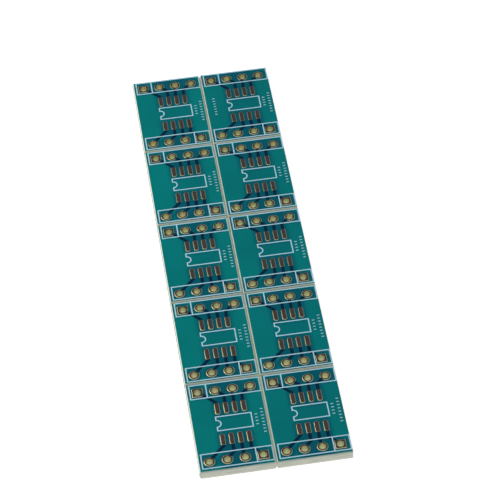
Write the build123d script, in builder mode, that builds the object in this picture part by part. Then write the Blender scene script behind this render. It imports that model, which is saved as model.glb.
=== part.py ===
# A V-scored panel of identical adapter boards, each carrying an eight-lead surface-mount chip's
# pads out to two rows of header holes. Millimetres. The origin is the middle of the underside,
# +X runs across the panel, +Y along it and +Z up out of the copper face.
import os
from math import copysign, radians, sqrt, tan

from build123d import *

os.makedirs("parts", exist_ok=True)

# The panel, in boards, and its sheet of glass epoxy
column_count = 2
row_count = 5
laminate_thickness = 1.50

# Score lines, cut from both faces, where the boards snap apart
groove_angle = 45
groove_depth = 0.49

# Laminate missing from two sides of the panel, cut square there inside the last score line
right_trim = 0.10
far_trim = 0.20

# Header holes, one row along each end of a board, and the laminate that is left round them,
# from the middles of the outer holes to the lines where the board ends
pins_per_row = 4
pin_pitch = 2.54
header_spacing = 12.70
hole_diameter = 1.00
side_margin = 1.64
end_margin = 1.683
header_offset_x = 0.03
header_offset_y = -0.083

# Chip pads, two rows across the board, a little off the header pattern's middle
pad_pitch = 1.27
pad_width = 0.70
pad_length = 2.10
pad_row_spacing = 5.68
chip_offset_x = 0.48
chip_offset_y = 0.11

# Copper, one net from each pad to the hole of the same number
copper_thickness = 0.04
trace_width = 0.45

# Sizes and places that follow
board_width = (pins_per_row - 1) * pin_pitch + 2 * side_margin
board_length = header_spacing + 2 * end_margin
panel_width = column_count * board_width - right_trim
panel_length = row_count * board_length - far_trim
hole_radius = hole_diameter / 2
copper_plane = Plane.XY.offset(laminate_thickness)
row_middle = (pins_per_row - 1) / 2
long_groove_places = [i * board_width - panel_width / 2 for i in range(column_count)]
cross_groove_places = [i * board_length - panel_length / 2 for i in range(1, row_count)]

# The middle of each board's header pattern, far boards first and left to right
board_middles = [
    (
        (column + 0.5) * board_width - panel_width / 2 + header_offset_x,
        (row_count - row - 0.5) * board_length - panel_length / 2 + header_offset_y,
    )
    for row in range(row_count)
    for column in range(column_count)
]

# Each net of a board by its number along the row and its end: +1 far, -1 near
board_nets = [(number, end) for end in (1, -1) for number in range(pins_per_row)]


def hole_place(board, number, end):
    return (
        board[0] + (number - row_middle) * pin_pitch,
        board[1] + end * header_spacing / 2,
    )


def pad_place(board, number, end):
    return (
        board[0] + chip_offset_x + (number - row_middle) * pad_pitch,
        board[1] + chip_offset_y + end * pad_row_spacing / 2,
    )


# The middle line of a trace: straight out of its pad, then at 45 degrees to the edge of its hole.
# One that is nearly in line with its hole runs straight all the way. The slanted runs are laid out
# from the chip's middle, so they are aimed chip_offset_y past the middles of their holes.
def trace_route(pad, hole, end):
    shift = hole[0] - pad[0]
    if abs(shift) < hole_radius:
        return [pad, (pad[0], hole[1] - end * hole_radius)]
    aim_y = hole[1] + chip_offset_y
    reach = hole_radius / sqrt(2) + end * chip_offset_y / 2
    return [
        pad,
        (pad[0], aim_y - end * abs(shift)),
        (hole[0] - copysign(reach, shift), aim_y - end * reach),
    ]


# A groove's section, its mouth on the sketch's X axis and its tip below
half_mouth = groove_depth * tan(radians(groove_angle / 2))
with BuildSketch() as groove:
    with BuildLine():
        Polyline((-half_mouth, 0), (0, -groove_depth), (half_mouth, 0), close=True)
    make_face()

# The whole panel is one sheet, scored but not cut through
with BuildPart() as laminate:
    with BuildSketch():
        Rectangle(panel_width, panel_length)
    extrude(amount=laminate_thickness)

    # Lines along the panel; the first leaves half a groove on the panel's snapped edge
    with BuildSketch(Plane.XZ):
        with Locations(*[(x, laminate_thickness) for x in long_groove_places]):
            add(groove.sketch)
        with Locations(*[(x, 0) for x in long_groove_places]):
            add(groove.sketch, rotation=180)
    extrude(amount=panel_length / 2, both=True, mode=Mode.SUBTRACT)

    # Lines across the panel
    with BuildSketch(Plane.YZ):
        with Locations(*[(y, laminate_thickness) for y in cross_groove_places]):
            add(groove.sketch)
        with Locations(*[(y, 0) for y in cross_groove_places]):
            add(groove.sketch, rotation=180)
    extrude(amount=panel_width / 2, both=True, mode=Mode.SUBTRACT)

    with BuildSketch():
        with Locations(*[hole_place(board, *net) for board in board_middles for net in board_nets]):
            Circle(hole_radius)
    extrude(amount=laminate_thickness, mode=Mode.SUBTRACT)

laminate.part.label = "laminate"
export_step(laminate.part, "parts/laminate.step")

# Each net's pad and trace are etched as one piece
for board_number, board in enumerate(board_middles, start=1):
    with BuildPart() as copper:
        with BuildSketch(copper_plane):
            with Locations(*[pad_place(board, *net) for net in board_nets]):
                Rectangle(pad_width, pad_length)
            for number, end in board_nets:
                route = trace_route(
                    pad_place(board, number, end), hole_place(board, number, end), end
                )
                for side in (Side.LEFT, Side.RIGHT):
                    with BuildLine():
                        Polyline(*route)
                        offset(amount=trace_width / 2, kind=Kind.INTERSECTION, side=side)
                    make_face()
        extrude(amount=copper_thickness)

    copper.part.label = f"board_{board_number:02d}_copper"
    export_step(copper.part, f"parts/{copper.part.label}.step")
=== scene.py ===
import math
import random

import bmesh
import bpy
from mathutils import Matrix, Vector
from mathutils.geometry import tessellate_polygon


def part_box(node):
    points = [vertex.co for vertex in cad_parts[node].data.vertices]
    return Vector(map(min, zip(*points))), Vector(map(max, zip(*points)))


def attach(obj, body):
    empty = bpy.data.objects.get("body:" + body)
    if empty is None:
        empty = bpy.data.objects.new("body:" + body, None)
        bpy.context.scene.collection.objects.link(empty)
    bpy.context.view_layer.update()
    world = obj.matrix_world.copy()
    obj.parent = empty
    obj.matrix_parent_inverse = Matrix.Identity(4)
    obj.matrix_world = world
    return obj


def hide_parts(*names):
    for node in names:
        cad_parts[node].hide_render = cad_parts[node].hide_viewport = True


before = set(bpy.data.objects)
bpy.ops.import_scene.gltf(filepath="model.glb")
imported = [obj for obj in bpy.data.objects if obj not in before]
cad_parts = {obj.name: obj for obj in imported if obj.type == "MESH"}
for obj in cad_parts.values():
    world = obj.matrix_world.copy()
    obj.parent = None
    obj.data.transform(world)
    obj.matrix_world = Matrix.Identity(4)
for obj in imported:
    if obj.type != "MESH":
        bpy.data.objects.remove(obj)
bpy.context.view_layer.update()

mm = 0.001
sheetLow, sheetHigh = [[value / mm for value in corner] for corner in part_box("laminate")]


# The panel: ten boards, two across and five along, in millimetres like all sizes here

panel = {
    "columns": 2,
    "rows": 5,
    "boardWidth": 10.90,
    "boardLength": 16.066,
    "headerShift": (0.03, -0.083),  # middle of the holes from the middle of a board
    "grooveMouth": 0.203,  # half the width of a score line
    "grooveDepth": 0.49,
    "maskThickness": 0.02,
    "copperThickness": 0.04,
}
boardMiddles = [
    (
        sheetLow[0] + (column + 0.5) * panel["boardWidth"] + panel["headerShift"][0],
        sheetLow[1] + (panel["rows"] - row - 0.5) * panel["boardLength"] + panel["headerShift"][1],
    )
    for row in range(panel["rows"])
    for column in range(panel["columns"])
]

header = {
    "perRow": 4,
    "pitch": 2.54,
    "spacing": 12.7,
    "holeRadius": 0.5,
    "plating": 0.03,
    "landRadius": 0.785,
    "squareLand": 1.56,
    "squareCorner": 0.06,
    "squarePins": ((0, 1), (3, -1)),  # the first pin of each row
    "landOpening": 0.02,  # the mask stops this far from a land
    "slope": 0.085,  # how far a land's rounded edge reaches in
    "mouthSlope": 0.015,
}
chip = {
    "pitch": 1.27,
    "rowSpacing": 5.68,
    "middle": (0.48, 0.11),
    "padWidth": 0.71,
    "padLength": 2.11,
    "padCorner": 0.34,
    "slope": 0.09,
    "padOpening": 0.012,
}
pins = [(number, end) for end in (1, -1) for number in range(header["perRow"])]
rowMiddle = (header["perRow"] - 1) / 2


# Colours and shader nodes


def hexColour(text):
    # sRGB hex to the linear values that the shaders work in
    channels = [int(text[i:i + 2], 16) / 255 for i in (1, 3, 5)]
    linear = [c / 12.92 if c <= 0.04045 else ((c + 0.055) / 1.055) ** 2.4 for c in channels]
    return (*linear, 1.0)


def addNode(owner, kind, settings=None, **inputs):
    # an input is a value, or another node's output to link; "in0" style names go by number
    node = owner.node_tree.nodes.new(kind)
    for name, value in (settings or {}).items():
        setattr(node, name, value)
    for name, value in inputs.items():
        socket = node.inputs[int(name[2:]) if name.startswith("in") else name.replace("_", " ")]
        if isinstance(value, bpy.types.NodeSocket):
            owner.node_tree.links.new(value, socket)
        else:
            socket.default_value = value
    return node


def startMaterial(name):
    # an empty material, and the place on the part that its patterns are drawn by
    material = bpy.data.materials.new(name)
    material.use_nodes = True
    material.node_tree.nodes.clear()
    return material, addNode(material, "ShaderNodeTexCoord").outputs["Object"]


def finishMaterial(material, shader):
    addNode(material, "ShaderNodeOutputMaterial", Surface=shader.outputs["BSDF"])
    return material


def perMetre(sizeMm, stretch=(1, 1, 1)):
    # scale for metres, at which a pattern of scale 1 repeats about every sizeMm
    return [s / (sizeMm * mm) for s in stretch]


smooth = {"interpolation_type": "SMOOTHSTEP"}
colourMix = {"data_type": "RGBA"}


# Materials, each named for the real one and how its surface was made

epoxyLook = {
    "dark": "#969A8C",
    "light": "#BDBFAF",
    "scoredAcross": "#BABFAC",  # painted light: scored faces paler, for the table's light through the thin web left there
    # painted light: faces along the long score lines paler still
    "scoredAlong": "#E2E8D8",
    "scoredFacing": (0.15, 0.35),  # how far a face looks up or down to count as scored
    "underMask": "#6F8078",  # painted shade: the top of the sawn edge darker and grey-green, lit through the lacquer
    "paintedShadeMm": (1.05, 1.48),  # heights where that painted shade starts and where it is full
    "nearTable": "#C6C1B3",
    "glowMm": (0.45, 0.02),  # heights where the table's light starts and where it is full
    "share": 0.8,  # how much of the cut colour the three above replace
    "plyMm": 0.19,  # one layer of glass cloth
    "plyStretch": (0.08, 0.08, 1),
    "fibreMm": 0.06,
    "fibreShare": 0.45,
    "contrast": (0.45, 1.0),
    "bumpMm": 0.02,
    "bump": 0.6,
    "roughness": 0.75,
    "ior": 1.52,
}


def scoredGlassEpoxy():
    # FR4 cut by a scoring wheel: grey straw resin with broken glass ends, dull, in thin plies;
    # painted shade, grey-green from the lacquer, at the top, painted light on the scored faces, and
    # glowing a little where the light table shines into it
    material, place = startMaterial("scoredGlassEpoxy")
    look = epoxyLook
    plyPlace = addNode(
        material, "ShaderNodeMapping",
        Vector=place, Scale=perMetre(look["plyMm"], look["plyStretch"]),
    ).outputs["Vector"]
    fibrePlace = addNode(
        material, "ShaderNodeMapping", Vector=place, Scale=perMetre(look["fibreMm"])
    ).outputs["Vector"]
    plies = addNode(
        material, "ShaderNodeTexNoise", Vector=plyPlace, Scale=1.0, Detail=3.0, Roughness=0.6
    ).outputs["Fac"]
    fibres = addNode(
        material, "ShaderNodeTexNoise", Vector=fibrePlace, Scale=1.0, Detail=4.0, Roughness=0.7
    ).outputs["Fac"]
    grain = addNode(
        material, "ShaderNodeMath", {"operation": "MULTIPLY_ADD"},
        in0=fibres, in1=look["fibreShare"], in2=plies,
    ).outputs[0]
    spread = addNode(
        material, "ShaderNodeMapRange",
        Value=grain, in1=look["contrast"][0], in2=look["contrast"][1],
    ).outputs[0]
    cut = addNode(
        material, "ShaderNodeMix", colourMix,
        in0=spread, in6=hexColour(look["dark"]), in7=hexColour(look["light"]),
    ).outputs[2]
    facing = addNode(material, "ShaderNodeNewGeometry").outputs["Normal"]
    steepness = addNode(
        material, "ShaderNodeVectorMath", {"operation": "ABSOLUTE"}, in0=facing
    ).outputs[0]
    steep = addNode(material, "ShaderNodeSeparateXYZ", Vector=steepness)
    # painted light: scored faces paler, more so along the long score lines
    scoredPaintedLight = addNode(
        material, "ShaderNodeMix", colourMix, in0=steep.outputs["X"],
        in6=hexColour(look["scoredAcross"]), in7=hexColour(look["scoredAlong"]),
    ).outputs[2]
    scored = addNode(
        material, "ShaderNodeMapRange", smooth, Value=steep.outputs["Z"],
        in1=look["scoredFacing"][0], in2=look["scoredFacing"][1], in4=look["share"],
    ).outputs[0]
    height = addNode(material, "ShaderNodeSeparateXYZ", Vector=place).outputs["Z"]
    # painted shade: darker grey-green towards the top of the sawn edge
    paintedShadeShare = addNode(
        material, "ShaderNodeMapRange", smooth, Value=height,
        in1=look["paintedShadeMm"][0] * mm, in2=look["paintedShadeMm"][1] * mm, in4=look["share"],
    ).outputs[0]
    glowing = addNode(
        material, "ShaderNodeMapRange", smooth, Value=height,
        in1=look["glowMm"][0] * mm, in2=look["glowMm"][1] * mm, in4=look["share"],
    ).outputs[0]
    upper = addNode(
        material, "ShaderNodeMix", colourMix,
        in0=paintedShadeShare, in6=cut, in7=hexColour(look["underMask"]),
    ).outputs[2]
    sawn = addNode(
        material, "ShaderNodeMix", colourMix,
        in0=glowing, in6=upper, in7=hexColour(look["nearTable"]),
    ).outputs[2]
    colour = addNode(
        material, "ShaderNodeMix", colourMix, in0=scored, in6=sawn, in7=scoredPaintedLight
    ).outputs[2]
    bump = addNode(
        material, "ShaderNodeBump",
        Height=spread, Distance=look["bumpMm"] * mm, Strength=look["bump"],
    ).outputs["Normal"]
    shader = addNode(
        material, "ShaderNodeBsdfPrincipled",
        Base_Color=colour, Roughness=look["roughness"], IOR=look["ior"], Normal=bump,
    )
    return finishMaterial(material, shader)


maskLook = {
    "deep": "#007370",
    "bright": "#007D79",
    "contrast": (0.35, 0.85),
    "mottleMm": 7.0,
    "weaveMm": 0.5,  # pitch of the glass cloth that shows faintly through
    "weaveBands": 0.32,
    "weaveShare": 0.16,
    "weaveBumpMm": 0.004,
    "weaveBump": 0.25,
    "byCopper": "#005762",
    "landReach": (1.8, 0.8),  # from a land's middle, where the dark starts and where it is full
    "chipReach": (3.2, 1.9),  # the same across the board, from the chip's middle
    "rowReach": (0.6, 2.2),  # along the board, from between the rows of pads to beside them
    "betweenRows": 0.22,
    "underside": 0.3,  # there are no pads on that face
    "middleHeights": (0.5, 1.0),  # between the two faces
    "secondColumnShade": 0.14,  # painted shade: the second column of boards a little darker, as the light falls off to the right
    "columnGap": (-0.1, 0.2),
    "overCopperDark": "#002034",
    "overCopperLight": "#002A3E",
    "overCopperMm": 0.6,
    "overCopperBumpMm": 0.003,
    "overCopperBump": 0.3,
    "leakMm": 0.012,  # height of the slope under which light still leaks in beside a trace
    "gloss": 0.22,
    "ior": 1.43,
}


def fromBoardMiddle(material, place, axis, middle, half):
    # how far a point lies from the middle of its own board's hole pattern, in mm
    along = addNode(material, "ShaderNodeSeparateXYZ", Vector=place).outputs[axis]
    shifted = addNode(
        material, "ShaderNodeMath", {"operation": "MULTIPLY_ADD"},
        in0=along, in1=1 / mm, in2=-middle,
    ).outputs[0]
    return addNode(
        material, "ShaderNodeMath", {"operation": "WRAP"}, in0=shifted, in1=half, in2=-half
    ).outputs[0]


def copperNearness(material, place):
    # 1 beside lands, pads and traces, 0 on open laminate
    look = maskLook
    x = fromBoardMiddle(material, place, "X", boardMiddles[0][0], panel["boardWidth"] / 2)
    y = fromBoardMiddle(material, place, "Y", boardMiddles[0][1], panel["boardLength"] / 2)
    half = header["pitch"] / 2
    betweenColumns = addNode(
        material, "ShaderNodeMath", {"operation": "SUBTRACT"}, in0=x, in1=half
    ).outputs[0]
    toColumn = addNode(
        material, "ShaderNodeMath", {"operation": "PINGPONG"}, in0=betweenColumns, in1=half
    ).outputs[0]
    rowAway = addNode(material, "ShaderNodeMath", {"operation": "ABSOLUTE"}, in0=y).outputs[0]
    toRow = addNode(
        material, "ShaderNodeMath", {"operation": "SUBTRACT"},
        in0=rowAway, in1=header["spacing"] / 2,
    ).outputs[0]
    landAway = addNode(material, "ShaderNodeCombineXYZ", X=toColumn, Y=toRow).outputs[0]
    toLand = addNode(
        material, "ShaderNodeVectorMath", {"operation": "LENGTH"}, in0=landAway
    ).outputs["Value"]
    byLand = addNode(
        material, "ShaderNodeMapRange", smooth,
        Value=toLand, in1=look["landReach"][0], in2=look["landReach"][1],
    ).outputs[0]
    sideways = addNode(
        material, "ShaderNodeMath", {"operation": "SUBTRACT"}, in0=x, in1=chip["middle"][0]
    ).outputs[0]
    fromChip = addNode(
        material, "ShaderNodeMath", {"operation": "ABSOLUTE"}, in0=sideways
    ).outputs[0]
    inChip = addNode(
        material, "ShaderNodeMapRange", smooth,
        Value=fromChip, in1=look["chipReach"][0], in2=look["chipReach"][1],
    ).outputs[0]
    inRows = addNode(
        material, "ShaderNodeMapRange", smooth, Value=rowAway,
        in1=look["rowReach"][0], in2=look["rowReach"][1], in3=look["betweenRows"],
    ).outputs[0]
    height = addNode(material, "ShaderNodeSeparateXYZ", Vector=place).outputs["Z"]
    onTop = addNode(
        material, "ShaderNodeMapRange", Value=height, in1=look["middleHeights"][0] * mm,
        in2=look["middleHeights"][1] * mm, in3=look["underside"],
    ).outputs[0]
    around = addNode(
        material, "ShaderNodeMath", {"operation": "MULTIPLY"}, in0=inChip, in1=inRows
    ).outputs[0]
    byPads = addNode(
        material, "ShaderNodeMath", {"operation": "MULTIPLY"}, in0=around, in1=onTop
    ).outputs[0]
    return addNode(
        material, "ShaderNodeMath", {"operation": "MAXIMUM"}, in0=byLand, in1=byPads
    ).outputs[0]


def glossSolderMask():
    # cured blue-green lacquer over glass cloth: light comes back up through the laminate, less of
    # it and bluer beside copper, and the weave shows as a faint check
    material, place = startMaterial("glossSolderMask")
    look = maskLook
    mottlePlace = addNode(
        material, "ShaderNodeMapping", Vector=place, Scale=perMetre(look["mottleMm"])
    ).outputs["Vector"]
    weavePlace = addNode(
        material, "ShaderNodeMapping", Vector=place, Scale=perMetre(look["weaveMm"])
    ).outputs["Vector"]
    mottle = addNode(
        material, "ShaderNodeTexNoise", Vector=mottlePlace, Scale=1.0, Detail=2.0, Roughness=0.5
    ).outputs["Fac"]
    warp, weft = [
        addNode(
            material, "ShaderNodeTexWave", {"bands_direction": along},
            Vector=weavePlace, Scale=look["weaveBands"], Distortion=1.0, Detail=1.0,
        ).outputs["Fac"]
        for along in ("X", "Y")
    ]
    weave = addNode(
        material, "ShaderNodeMath", {"operation": "MULTIPLY"}, in0=warp, in1=weft
    ).outputs[0]
    shade = addNode(
        material, "ShaderNodeMath", {"operation": "MULTIPLY_ADD"},
        in0=weave, in1=look["weaveShare"], in2=mottle,
    ).outputs[0]
    spread = addNode(
        material, "ShaderNodeMapRange",
        Value=shade, in1=look["contrast"][0], in2=look["contrast"][1],
    ).outputs[0]
    openColour = addNode(
        material, "ShaderNodeMix", colourMix,
        in0=spread, in6=hexColour(look["deep"]), in7=hexColour(look["bright"]),
    ).outputs[2]
    across = addNode(material, "ShaderNodeSeparateXYZ", Vector=place).outputs["X"]
    # painted shade: darker beside copper and over the second column of boards
    shadedColumn = addNode(
        material, "ShaderNodeMapRange", smooth, Value=across,
        in1=look["columnGap"][0] * mm, in2=look["columnGap"][1] * mm, in4=look["secondColumnShade"],
    ).outputs[0]
    depth = addNode(
        material, "ShaderNodeMath", {"operation": "ADD", "use_clamp": True},
        in0=copperNearness(material, place), in1=shadedColumn,
    ).outputs[0]
    colour = addNode(
        material, "ShaderNodeMix", colourMix,
        in0=depth, in6=openColour, in7=hexColour(look["byCopper"]),
    ).outputs[2]
    bump = addNode(
        material, "ShaderNodeBump",
        Height=weave, Distance=look["weaveBumpMm"] * mm, Strength=look["weaveBump"],
    ).outputs["Normal"]
    shader = addNode(
        material, "ShaderNodeBsdfPrincipled",
        Base_Color=colour, Roughness=look["gloss"], IOR=look["ior"], Normal=bump,
    )
    return finishMaterial(material, shader)


def maskOverCopper():
    # the same lacquer with etched copper under it: no light comes back through it, so nearly navy,
    # and the dark fades out over the slope of a trace, where some light leaks in
    material, place = startMaterial("maskOverCopper")
    look = maskLook
    grainPlace = addNode(
        material, "ShaderNodeMapping", Vector=place, Scale=perMetre(look["overCopperMm"])
    ).outputs["Vector"]
    grain = addNode(
        material, "ShaderNodeTexNoise", Vector=grainPlace, Scale=1.0, Detail=2.0
    ).outputs["Fac"]
    covered = addNode(
        material, "ShaderNodeMix", colourMix, in0=grain,
        in6=hexColour(look["overCopperDark"]), in7=hexColour(look["overCopperLight"]),
    ).outputs[2]
    height = addNode(material, "ShaderNodeSeparateXYZ", Vector=place).outputs["Z"]
    foot = sheetHigh[2] + panel["maskThickness"]
    inward = addNode(
        material, "ShaderNodeMapRange", smooth,
        Value=height, in1=foot * mm, in2=(foot + look["leakMm"]) * mm,
    ).outputs[0]
    colour = addNode(
        material, "ShaderNodeMix", colourMix,
        in0=inward, in6=hexColour(look["byCopper"]), in7=covered,
    ).outputs[2]
    bump = addNode(
        material, "ShaderNodeBump",
        Height=grain, Distance=look["overCopperBumpMm"] * mm, Strength=look["overCopperBump"],
    ).outputs["Normal"]
    shader = addNode(
        material, "ShaderNodeBsdfPrincipled",
        Base_Color=colour, Roughness=look["gloss"], IOR=look["ior"], Normal=bump,
    )
    return finishMaterial(material, shader)


goldLook = {
    # name: darker and lighter colour, roughness, grain in mm and its bump in mm
    "immersionGold": ("#D2CA8C", "#DDD69B", 0.21, 0.05, 0.0015),
    "goldOnEtchedSide": ("#C3B97C", "#D5CB90", 0.42, 0.04, 0.004),
    "goldInDrilledHole": ("#C4C59A", "#D6D8B0", 0.30, 0.09, 0.008),
}
goldBump = 0.4  # strength of the grain's bump


def goldFinish(name):
    # a few hundredths of a micron of gold over nickel, so it takes the copper's surface: satin and
    # pale green-yellow on the flats, dull on the etched sides, greyer and rougher in the holes
    dark, light, roughness, grainMm, bumpMm = goldLook[name]
    material, place = startMaterial(name)
    grainPlace = addNode(
        material, "ShaderNodeMapping", Vector=place, Scale=perMetre(grainMm)
    ).outputs["Vector"]
    grain = addNode(
        material, "ShaderNodeTexNoise", Vector=grainPlace, Scale=1.0, Detail=3.0, Roughness=0.6
    ).outputs["Fac"]
    colour = addNode(
        material, "ShaderNodeMix", colourMix, in0=grain, in6=hexColour(dark), in7=hexColour(light)
    ).outputs[2]
    bump = addNode(
        material, "ShaderNodeBump", Height=grain, Distance=bumpMm * mm, Strength=goldBump
    ).outputs["Normal"]
    shader = addNode(
        material, "ShaderNodeBsdfPrincipled",
        Base_Color=colour, Metallic=1.0, Roughness=roughness, Normal=bump,
    )
    return finishMaterial(material, shader)


inkLook = {
    "thin": "#A4C9D9",
    "full": "#B9DDE7",
    "meshMm": 0.12,
    "bumpMm": 0.004,
    "bump": 0.4,
    "roughness": 0.55,
    "ior": 1.5,
}


def screenedInk():
    # white epoxy ink pressed through a mesh: flat, faintly blue on the mask, soft at its edges
    material, place = startMaterial("screenedInk")
    look = inkLook
    meshPlace = addNode(
        material, "ShaderNodeMapping", Vector=place, Scale=perMetre(look["meshMm"])
    ).outputs["Vector"]
    mesh = addNode(
        material, "ShaderNodeTexNoise", Vector=meshPlace, Scale=1.0, Detail=3.0, Roughness=0.6
    ).outputs["Fac"]
    colour = addNode(
        material, "ShaderNodeMix", colourMix,
        in0=mesh, in6=hexColour(look["thin"]), in7=hexColour(look["full"]),
    ).outputs[2]
    bump = addNode(
        material, "ShaderNodeBump",
        Height=mesh, Distance=look["bumpMm"] * mm, Strength=look["bump"],
    ).outputs["Normal"]
    shader = addNode(
        material, "ShaderNodeBsdfPrincipled",
        Base_Color=colour, Roughness=look["roughness"], IOR=look["ior"], Normal=bump,
    )
    return finishMaterial(material, shader)


glassEpoxy = scoredGlassEpoxy()
solderMask = glossSolderMask()
coveredCopper = maskOverCopper()
goldFlat, goldSide, goldHole = [goldFinish(name) for name in goldLook]
legendInk = screenedInk()
print("materials made")


# Outlines in millimetres; each is a function of how far it grows, and runs anticlockwise

roundSteps = 56  # sides of a round outline
leastCorner = 0.005  # a smaller radius is drawn as this one
mitreLimit = 0.3  # keeps the mitre of a sharp corner short
shortestRun = 1e-9  # points closer than this count as one


def disc(x, y, radius):
    def points(grow):
        turns = [2 * math.pi * i / roundSteps for i in range(roundSteps)]
        reach = radius + grow
        return [(x + reach * math.cos(a), y + reach * math.sin(a)) for a in turns]
    return points


def pill(x, y, width, length, corner, steps=7):
    # a rectangle with rounded corners, each of so many steps
    def points(grow):
        radius = max(corner + grow, leastCorner)
        reachX = width / 2 + grow - radius
        reachY = length / 2 + grow - radius
        ring = []
        for quarter, (sx, sy) in enumerate(((1, 1), (-1, 1), (-1, -1), (1, -1))):
            for step in range(steps + 1):
                a = (quarter + step / steps) * math.pi / 2
                ring.append((
                    x + sx * reachX + radius * math.cos(a),
                    y + sy * reachY + radius * math.sin(a),
                ))
        return ring
    return points


def sidestep(points, distance, closed):
    # the line that runs beside these points, to their right, with mitred corners
    count = len(points)
    moved = []
    for i, point in enumerate(points):
        here = Vector(point)
        back = Vector(points[i - 1]) if closed or i > 0 else None
        ahead = Vector(points[(i + 1) % count]) if closed or i < count - 1 else None
        normals = []
        for start, end in ((back, here), (here, ahead)):
            if start is not None and end is not None and (end - start).length > shortestRun:
                run = (end - start).normalized()
                normals.append(Vector((run.y, -run.x)))
        middle = sum(normals, Vector((0, 0))).normalized()
        moved.append(tuple(here + middle * distance / max(middle.dot(normals[0]), mitreLimit)))
    return moved


def band(route, width):
    def points(grow):
        half = width / 2 + grow
        return sidestep(route, half, False) + sidestep(route, -half, False)[::-1]
    return points


def loop(corners):
    return lambda grow: sidestep(corners, grow, True)


# Solids from outlines

roundUnder = math.radians(28)  # edges that turn less than this are shaded round


def newParts():
    return {"points": [], "faces": [], "slots": []}


def raised(parts, outer, holes, layers, slots=(0, 0, 0)):
    # a plate from one outline and its openings; a layer is (height, outer grow, opening grow),
    # and the slots are for the faces, the outer side and the sides of the openings
    rings = []
    for outline, column in [(outer, 1)] + [(hole, 2) for hole in holes]:
        stack = []
        for layer in layers:
            start = len(parts["points"])
            around = outline(layer[column])
            parts["points"] += [(x, y, layer[0]) for x, y in around]
            stack.append(list(range(start, start + len(around))))
        rings.append(stack)
    for number, stack in enumerate(rings):
        for lower, upper in zip(stack, stack[1:]):
            for i in range(len(lower)):
                j = (i + 1) % len(lower)
                parts["faces"].append((lower[i], lower[j], upper[j], upper[i]))
                parts["slots"].append(slots[min(number, 1) + 1])
    for level in (0, -1):
        order = [index for stack in rings for index in stack[level]]
        flat = [[Vector(parts["points"][index]) for index in stack[level]] for stack in rings]
        for corner in tessellate_polygon(flat):
            parts["faces"].append(tuple(order[c] for c in corner))
            parts["slots"].append(slots[0])


def tube(parts, x, y, profile, slot):
    # a closed ring section, as (radius, height) corners, turned about an upright axis
    start = len(parts["points"])
    for i in range(roundSteps):
        a = 2 * math.pi * i / roundSteps
        parts["points"] += [(x + r * math.cos(a), y + r * math.sin(a), z) for r, z in profile]
    count = len(profile)
    for i in range(roundSteps):
        for k in range(count):
            near = start + i * count
            far = start + (i + 1) % roundSteps * count
            after = (k + 1) % count
            parts["faces"].append((near + k, far + k, far + after, near + after))
            parts["slots"].append(slot)


def outwardMesh(name, parts):
    mesh = bpy.data.meshes.new(name)
    mesh.from_pydata(parts["points"], [], parts["faces"])
    work = bmesh.new()
    work.from_mesh(mesh)
    bmesh.ops.recalc_face_normals(work, faces=work.faces)
    work.to_mesh(mesh)
    work.free()
    return mesh


def addObject(name, mesh):
    added = bpy.data.objects.new(name, mesh)
    bpy.context.scene.collection.objects.link(added)
    return added


def shadeEdges(mesh):
    mesh.shade_smooth()
    mesh.set_sharp_from_angle(angle=roundUnder)


def makePiece(name, parts, materials, shift=(0, 0)):
    mesh = outwardMesh(name, parts)
    for material in materials:
        mesh.materials.append(material)
    mesh.polygons.foreach_set("material_index", parts["slots"])
    mesh.transform(Matrix.Scale(mm, 4) @ Matrix.Translation((*shift, 0)))
    shadeEdges(mesh)
    piece = addObject(name, mesh)
    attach(piece, "root")
    return piece


# Where the holes and pads of one board lie


def holePlace(number, end):
    return ((number - rowMiddle) * header["pitch"], end * header["spacing"] / 2)


def padPlace(number, end):
    return (
        chip["middle"][0] + (number - rowMiddle) * chip["pitch"],
        chip["middle"][1] + end * chip["rowSpacing"] / 2,
    )


def landShape(number, end):
    x, y = holePlace(number, end)
    if (number, end) in header["squarePins"]:
        return pill(x, y, header["squareLand"], header["squareLand"], header["squareCorner"])
    return disc(x, y, header["landRadius"])


def padShape(number, end):
    return pill(*padPlace(number, end), chip["padWidth"], chip["padLength"], chip["padCorner"])


# One sheet of laminate, drilled and scored

cuts = {
    "wedgeOver": 0.2,  # how far a wedge stands out of the face that it cuts
    "longReach": 3 * panel["boardLength"],  # from the middle, past both ends of the sheet
    "crossReach": 2 * panel["boardWidth"],
    "drillFrom": -1,  # heights, clear of both faces
    "drillTo": 3,
}
# the two ends and three sides of a wedge, by its six corners
wedgeFaces = ((0, 1, 2), (5, 4, 3), (0, 3, 4, 1), (1, 4, 5, 2), (2, 5, 3, 0))


def grooveWedges(parts, places, reach, along):
    # wedges over both faces of the sheet, running along X or Y
    over = cuts["wedgeOver"]
    depth, skin = panel["grooveDepth"], panel["maskThickness"]
    for place in places:
        for face, inward, deep in ((sheetHigh[2], -1, depth), (skin, 1, depth - skin)):
            wide = panel["grooveMouth"] * (deep + over) / depth
            outside = face - inward * over
            section = [(-wide, outside), (0, face + inward * deep), (wide, outside)]
            start = len(parts["points"])
            for end in (-reach, reach):
                for s, z in section:
                    point = (place + s, end, z) if along == "Y" else (end, place + s, z)
                    parts["points"].append(point)
            parts["faces"] += [tuple(start + c for c in corners) for corners in wedgeFaces]


def cutAway(sheet, parts):
    cutter = addObject("cutter", outwardMesh("cutter", parts))
    cutter.scale = (mm, mm, mm)
    modifier = sheet.modifiers.new("cut", "BOOLEAN")
    modifier.operation = "DIFFERENCE"
    modifier.solver = "EXACT"
    modifier.object = cutter
    bpy.context.view_layer.update()
    done = sheet.evaluated_get(bpy.context.evaluated_depsgraph_get())
    result = bpy.data.meshes.new_from_object(done)
    sheet.modifiers.clear()
    sheet.data = result
    bpy.data.objects.remove(cutter)


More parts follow.
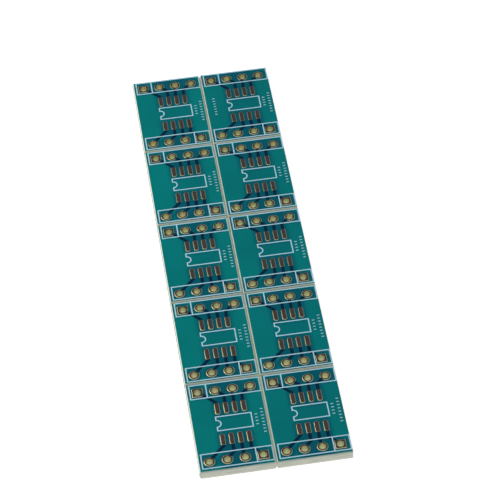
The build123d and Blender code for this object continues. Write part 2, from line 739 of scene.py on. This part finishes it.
def makeSheet():
    width, length = sheetHigh[0] - sheetLow[0], sheetHigh[1] - sheetLow[1]
    block = newParts()
    square = pill(0, 0, width, length, leastCorner, 1)
    raised(block, square, [], [(panel["maskThickness"], 0, 0), (sheetHigh[2], 0, 0)])
    sheet = makePiece("laminateSheet", block, [glassEpoxy])
    longCuts, crossCuts, drills = newParts(), newParts(), newParts()
    longPlaces = [sheetLow[0] + i * panel["boardWidth"] for i in range(panel["columns"])]
    crossPlaces = [sheetLow[1] + i * panel["boardLength"] for i in range(1, panel["rows"])]
    grooveWedges(longCuts, longPlaces, cuts["longReach"], "Y")
    grooveWedges(crossCuts, crossPlaces, cuts["crossReach"], "X")
    drill = header["holeRadius"] + header["plating"]
    for middle in boardMiddles:
        for pin in pins:
            x, y = holePlace(*pin)
            bore = disc(middle[0] + x, middle[1] + y, drill)
            raised(drills, bore, [], [(cuts["drillFrom"], 0, 0), (cuts["drillTo"], 0, 0)])
    for parts in (longCuts, crossCuts, drills):
        cutAway(sheet, parts)
    sheet.data.name = "laminateSheet"
    shadeEdges(sheet.data)
    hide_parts("laminate")
    return sheet


laminateSheet = makeSheet()
print("laminate sheet cut:", len(laminateSheet.data.polygons), "faces")


# Solder mask, a skin on each face of each board with openings over its lands and pads

maskSkin = {
    "breakStep": 0.3,  # between the nicks that the scoring wheel leaves along an edge
    "breakDepth": 0.018,  # of the deepest nick
    "inset": 0.01,  # from the sides of the sheet
    "straight": 0.6,  # the share of its thickness below the rounded edge
    "edgeRound": 0.01,
    "openingRound": 0.012,
}


def raggedEdge(low, high, seed):
    chance = random.Random(seed)
    corners = [(low[0], low[1]), (high[0], low[1]), (high[0], high[1]), (low[0], high[1])]
    ring = []
    for i, corner in enumerate(corners):
        start, end = Vector(corner), Vector(corners[(i + 1) % len(corners)])
        run = (end - start).normalized()
        inward = Vector((-run.y, run.x))
        count = int((end - start).length / maskSkin["breakStep"])
        for k in range(count):
            dent = chance.random() ** 2 * maskSkin["breakDepth"] if k else 0
            ring.append(tuple(start + (end - start) * k / count + inward * dent))
    return ring


def maskPiece(number, middle, side):
    size = (panel["boardWidth"], panel["boardLength"])
    shift, mouth, inset = panel["headerShift"], panel["grooveMouth"], maskSkin["inset"]
    low = [-shift[axis] - size[axis] / 2 for axis in (0, 1)]
    high = [low[axis] + size[axis] - mouth for axis in (0, 1)]
    low = [edge + mouth for edge in low]
    # only the left side of the sheet is snapped along a score line; the mask runs out to the rest
    if number % panel["columns"] == panel["columns"] - 1:
        high[0] = sheetHigh[0] - middle[0] - inset
    if number < panel["columns"]:
        high[1] = sheetHigh[1] - middle[1] - inset
    if number >= panel["columns"] * (panel["rows"] - 1):
        low[1] = sheetLow[1] - middle[1] + inset
    edge = raggedEdge(low, high, number * 2 + (side > 0))
    openings = [(landShape(*pin), header["landOpening"]) for pin in pins]
    if side > 0:
        openings += [(padShape(*pin), chip["padOpening"]) for pin in pins]
    holes = [
        lambda extra, shape=shape, gap=gap: shape(gap + extra) for shape, gap in openings
    ]
    thick, straight = panel["maskThickness"], maskSkin["straight"]
    if side > 0:
        heights = [sheetHigh[2] + thick * share for share in (0, straight, 1)]
    else:
        heights = [thick * share for share in (1, 1 - straight, 0)]
    grows = [(0, 0), (0, 0), (-maskSkin["edgeRound"], maskSkin["openingRound"])]
    layers = [(height, *grow) for height, grow in zip(heights, grows)]
    parts = newParts()
    raised(parts, loop(edge), holes, layers)
    name = f"{'top' if side > 0 else 'under'}Mask{number + 1:02d}"
    mask = makePiece(name, parts, [solderMask], middle)


for number, middle in enumerate(boardMiddles):
    for side in (1, -1):
        maskPiece(number, middle, side)
print("solder mask laid")


# Copper nets: gold-plated pads and lands, plated holes, and the covered traces between them

trace = {
    "width": 0.45,
    "overlap": 0.12,  # how far it runs into a land, from the hole
    "foot": 0.06,  # how much the lacquer over it spreads at its foot
    "shoulder": (0.029, -0.01),  # height over the laminate, and how much it spreads there
    "crest": (0.034, -0.07),
}
# etched and plated copper has a rounded shoulder, steep at the foot and level at the top:
# shares of its height and of how far it has come in
copperShoulder = ((0, 0), (0.22, 0), (0.58, 0.3), (0.83, 0.6), (0.96, 0.85), (1, 1))
netMaterials = [goldFlat, goldSide, goldHole, coveredCopper]
onFlat, onSide, inHole, underMask = range(len(netMaterials))  # their places in that list


def traceRoute(number, end):
    padX, padY = padPlace(number, end)
    holeX, holeY = holePlace(number, end)
    shift = holeX - padX
    stop = header["holeRadius"] + trace["overlap"]
    if abs(shift) < stop:
        return [(padX, padY), (padX, holeY - end * stop)]
    aimY = holeY + chip["middle"][1]  # the slanted runs are laid out from the chip's middle
    reach = stop / math.sqrt(2) + end * chip["middle"][1] / 2
    return [
        (padX, padY),
        (padX, aimY - end * abs(shift)),
        (holeX - math.copysign(reach, shift), aimY - end * reach),
    ]


def roundedEdge(low, top, slope, mouth):
    return [(low + (top - low) * rise, -slope * run, mouth * run) for rise, run in copperShoulder]


def netParts():
    parts = newParts()
    low, thick = sheetHigh[2], panel["maskThickness"]
    top = low + panel["copperThickness"]
    slope, mouth = header["slope"], header["mouthSlope"]
    inner = header["holeRadius"]
    outer = inner + header["plating"]
    traceLayers = [
        (low, trace["foot"], 0),
        (low + thick, trace["foot"], 0),
        (low + trace["shoulder"][0], trace["shoulder"][1], 0),
        (low + trace["crest"][0], trace["crest"][1], 0),
    ]
    for pin in pins:
        x, y = holePlace(*pin)
        edge = roundedEdge(low, top, chip["slope"], 0)
        raised(parts, padShape(*pin), [], edge, (onFlat, onSide, onSide))
        rim = disc(x, y, inner)
        for foot, face in ((low, top), (thick, 0)):
            edge = roundedEdge(foot, face, slope, mouth)
            raised(parts, landShape(*pin), [rim], edge, (onFlat, onSide, inHole))
        wall = [(inner, thick), (outer, thick), (outer, low), (inner, low)]
        tube(parts, x, y, wall, inHole)
        covered = band(traceRoute(*pin), trace["width"])
        raised(parts, covered, [], traceLayers, (underMask, underMask, underMask))
    return parts


for number, middle in enumerate(boardMiddles):
    nets = makePiece(f"copperNets{number + 1:02d}", netParts(), netMaterials, middle)
    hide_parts(f"board_{number + 1:02d}_copper")
print("copper nets plated")


# Screened ink: a box round each row of holes, the chip's outline with its notch, and plain ticks

ink = {
    "width": 0.17,
    "sunk": 0.004,  # into the mask, so that no gap shows
    "edgeHeight": 0.018,
    "height": 0.026,
    "edgeRound": 0.015,
    "corner": 0.05,
    "cornerSteps": 3,
    "farBox": {"left": -4.90, "divider": -2.49, "bottom": 5.20, "top": 7.76},
    "nearBox": {"left": -4.89, "divider": 2.84, "bottom": -7.50, "top": -4.94},
    "rightLine": 5.205,  # middle of the last line, which the score line cuts into on the left
    "cutInset": 0.02,  # how far inside the mask that cut line ends
    "chip": {"left": -1.88, "right": 3.18, "bottom": -1.085, "top": 1.465, "notch": 0.62},
    "notchSteps": 14,
    "ticks": ((3.85, -0.75, 4), (4.72, -2.3, 8)),  # middle, lowest and count
    "extraTicks": {1: ((-4.0, -1.5, 7),)},  # by board, counted from 0
    "tickPitch": 0.60,
    "tickSize": (0.38, 0.12),
    "tickCorner": 0.04,
}


def boxParts(parts, box, right, layers):
    # two cells side by side, their lines joined; the ink goes no further than the mask
    width, corner, steps = ink["width"], ink["corner"], ink["cornerSteps"]
    left = box["left"] - width / 2
    middleY, height = (box["bottom"] + box["top"]) / 2, box["top"] - box["bottom"]
    outer = pill((left + right) / 2, middleY, right - left, height + width, corner, steps)
    cells = [
        pill((start + end) / 2, middleY, end - start - width, height - width, corner, steps)
        for start, end in ((box["left"], box["divider"]), (box["divider"], ink["rightLine"]))
    ]
    raised(parts, outer, cells, layers)


def chipOutline():
    shape, steps = ink["chip"], ink["notchSteps"]
    left, right, low, high = [shape[side] for side in ("left", "right", "bottom", "top")]
    middle = (high + low) / 2
    turns = [math.pi * (i / steps - 0.5) for i in range(steps + 1)]
    notch = [
        (left + shape["notch"] * math.cos(a), middle + shape["notch"] * math.sin(a)) for a in turns
    ]
    return [(left, high), *reversed(notch), (left, low), (right, low), (right, high)]


def legendParts(number):
    low = sheetHigh[2] + panel["maskThickness"]
    layers = [
        (low - ink["sunk"], 0, 0),
        (low + ink["edgeHeight"], 0, 0),
        (low + ink["height"], -ink["edgeRound"], ink["edgeRound"]),
    ]
    half = ink["width"] / 2
    right = ink["rightLine"] + half
    if number % panel["columns"] < panel["columns"] - 1:
        boardEdge = panel["boardWidth"] / 2 - panel["headerShift"][0]
        right = boardEdge - panel["grooveMouth"] - ink["cutInset"]
    parts = newParts()
    boxParts(parts, ink["farBox"], right, layers)
    boxParts(parts, ink["nearBox"], right, layers)
    outline = loop(chipOutline())
    raised(parts, lambda grow: outline(half + grow), [lambda grow: outline(grow - half)], layers)
    for x, y, count in ink["ticks"] + ink["extraTicks"].get(number, ()):
        for i in range(count):
            tick = pill(
                x, y + i * ink["tickPitch"], *ink["tickSize"], ink["tickCorner"], ink["cornerSteps"]
            )
            raised(parts, tick, [], layers)
    return parts


for number, middle in enumerate(boardMiddles):
    legend = makePiece(f"legend{number + 1:02d}", legendParts(number), [legendInk], middle)
print("legend printed")


# Camera, at the photograph's angle

view = {
    "place": (-27.208, -255.490, 275.838),
    "right": (0.9884443, -0.1482255, -0.0317356),
    "up": (0.1296106, 0.7178608, 0.6840153),
    "back": (-0.0786068, -0.6802243, 0.7287770),
    "lens": 180.38,
    "sensor": 36,
    "clipStart": 0.01,
}
cameraData = bpy.data.cameras.new("photoCamera")
cameraData.lens = view["lens"]
cameraData.sensor_width = view["sensor"]
cameraData.sensor_fit = "HORIZONTAL"
cameraData.clip_start = view["clipStart"]
camera = addObject("photoCamera", cameraData)
turn = Matrix((view["right"], view["up"], view["back"])).transposed().to_4x4()
camera.matrix_world = Matrix.Translation(Vector(view["place"]) * mm) @ turn
bpy.context.scene.camera = camera


# Soft studio light: a pale room with one dark part, which the flat gold mirrors to the camera

studio = {
    "walls": "#ACAEB2",
    "rightWall": "#E4E6EC",
    "rightReach": (-0.3, 0.5),  # X of the direction where the right wall starts and is full
    "ceiling": "#FFFFFF",
    "ceilingReach": (0.80, 0.95),  # the same in Z for the ceiling
    "darkSide": "#4A4568",
    "darkFacing": (0.079, 0.680, 0.729),
    "darkReach": (0.66, 0.80),  # cosines of where the dark part ends and where it is full
    "strength": 0.96,
    "lamps": (
        # name, place in metres, size in metres, watts
        ("leftSoftbox", (-0.150, 0.045, 0.118), (0.12, 0.12), 0.22),
        ("frontSoftbox", (0.10, -0.80, 0.60), (0.60, 0.40), 2.4),
    ),
}


def makeRoom():
    room = bpy.data.worlds.new("softRoom")
    room.use_nodes = True
    room.node_tree.nodes.clear()
    facing = addNode(room, "ShaderNodeTexCoord").outputs["Generated"]
    axes = addNode(room, "ShaderNodeSeparateXYZ", Vector=facing)
    sideways = addNode(
        room, "ShaderNodeMapRange", smooth, Value=axes.outputs["X"],
        in1=studio["rightReach"][0], in2=studio["rightReach"][1],
    ).outputs[0]
    upward = addNode(
        room, "ShaderNodeMapRange", smooth, Value=axes.outputs["Z"],
        in1=studio["ceilingReach"][0], in2=studio["ceilingReach"][1],
    ).outputs[0]
    nearness = addNode(
        room, "ShaderNodeVectorMath", {"operation": "DOT_PRODUCT"},
        in0=facing, in1=studio["darkFacing"],
    ).outputs["Value"]
    dark = addNode(
        room, "ShaderNodeMapRange", smooth,
        Value=nearness, in1=studio["darkReach"][0], in2=studio["darkReach"][1],
    ).outputs[0]
    walls = addNode(
        room, "ShaderNodeMix", colourMix,
        in0=sideways, in6=hexColour(studio["walls"]), in7=hexColour(studio["rightWall"]),
    ).outputs[2]
    lit = addNode(
        room, "ShaderNodeMix", colourMix,
        in0=upward, in6=walls, in7=hexColour(studio["ceiling"]),
    ).outputs[2]
    colour = addNode(
        room, "ShaderNodeMix", colourMix, in0=dark, in6=lit, in7=hexColour(studio["darkSide"])
    ).outputs[2]
    light = addNode(room, "ShaderNodeBackground", Color=colour, Strength=studio["strength"])
    addNode(room, "ShaderNodeOutputWorld", Surface=light.outputs["Background"])
    bpy.context.scene.world = room


makeRoom()
for name, place, size, watts in studio["lamps"]:
    lampData = bpy.data.lights.new(name, "AREA")
    lampData.shape = "RECTANGLE"
    lampData.size, lampData.size_y = size
    lampData.energy = watts
    lamp = addObject(name, lampData)
    lamp.location = place
    lamp.rotation_euler = (-Vector(place)).to_track_quat("-Z", "Y").to_euler()


# Floor, a light table

lightTable = {
    "dull": "#F3F4F5",
    "clear": "#F6F6F6",
    "cloudMm": 40.0,
    "roughness": 0.9,
    "shine": "#FFFFFF",
    "glow": (0.48, 0.70),  # under the part and far from it
    "glowMm": (60, 200),  # how far those are from its middle
    "side": 3000,
    "corner": 20,
    "low": -2.0,
    "high": -0.01,
}


def makeFloor():
    # opal acrylic of a light table, lit from below, so its white comes up through the holes
    opal, place = startMaterial("opalAcrylic")
    look = lightTable
    cloudPlace = addNode(
        opal, "ShaderNodeMapping", Vector=place, Scale=perMetre(look["cloudMm"])
    ).outputs["Vector"]
    cloud = addNode(
        opal, "ShaderNodeTexNoise", Vector=cloudPlace, Scale=1.0, Detail=1.0
    ).outputs["Fac"]
    colour = addNode(
        opal, "ShaderNodeMix", colourMix,
        in0=cloud, in6=hexColour(look["dull"]), in7=hexColour(look["clear"]),
    ).outputs[2]
    away = addNode(
        opal, "ShaderNodeVectorMath", {"operation": "LENGTH"}, in0=place
    ).outputs["Value"]
    glow = addNode(
        opal, "ShaderNodeMapRange", smooth, Value=away,
        in1=look["glowMm"][0] * mm, in2=look["glowMm"][1] * mm,
        in3=look["glow"][0], in4=look["glow"][1],
    ).outputs[0]
    shader = addNode(
        opal, "ShaderNodeBsdfPrincipled", Base_Color=colour, Roughness=look["roughness"],
        Emission_Color=hexColour(look["shine"]), Emission_Strength=glow,
    )
    finishMaterial(opal, shader)
    parts = newParts()
    top = pill(0, 0, look["side"], look["side"], look["corner"])
    raised(parts, top, [], [(look["low"], 0, 0), (look["high"], 0, 0)])
    floor = makePiece("lightTable", parts, [opal])


makeFloor()
bpy.context.scene.view_settings.view_transform = "Standard"
print("camera, light and floor set")
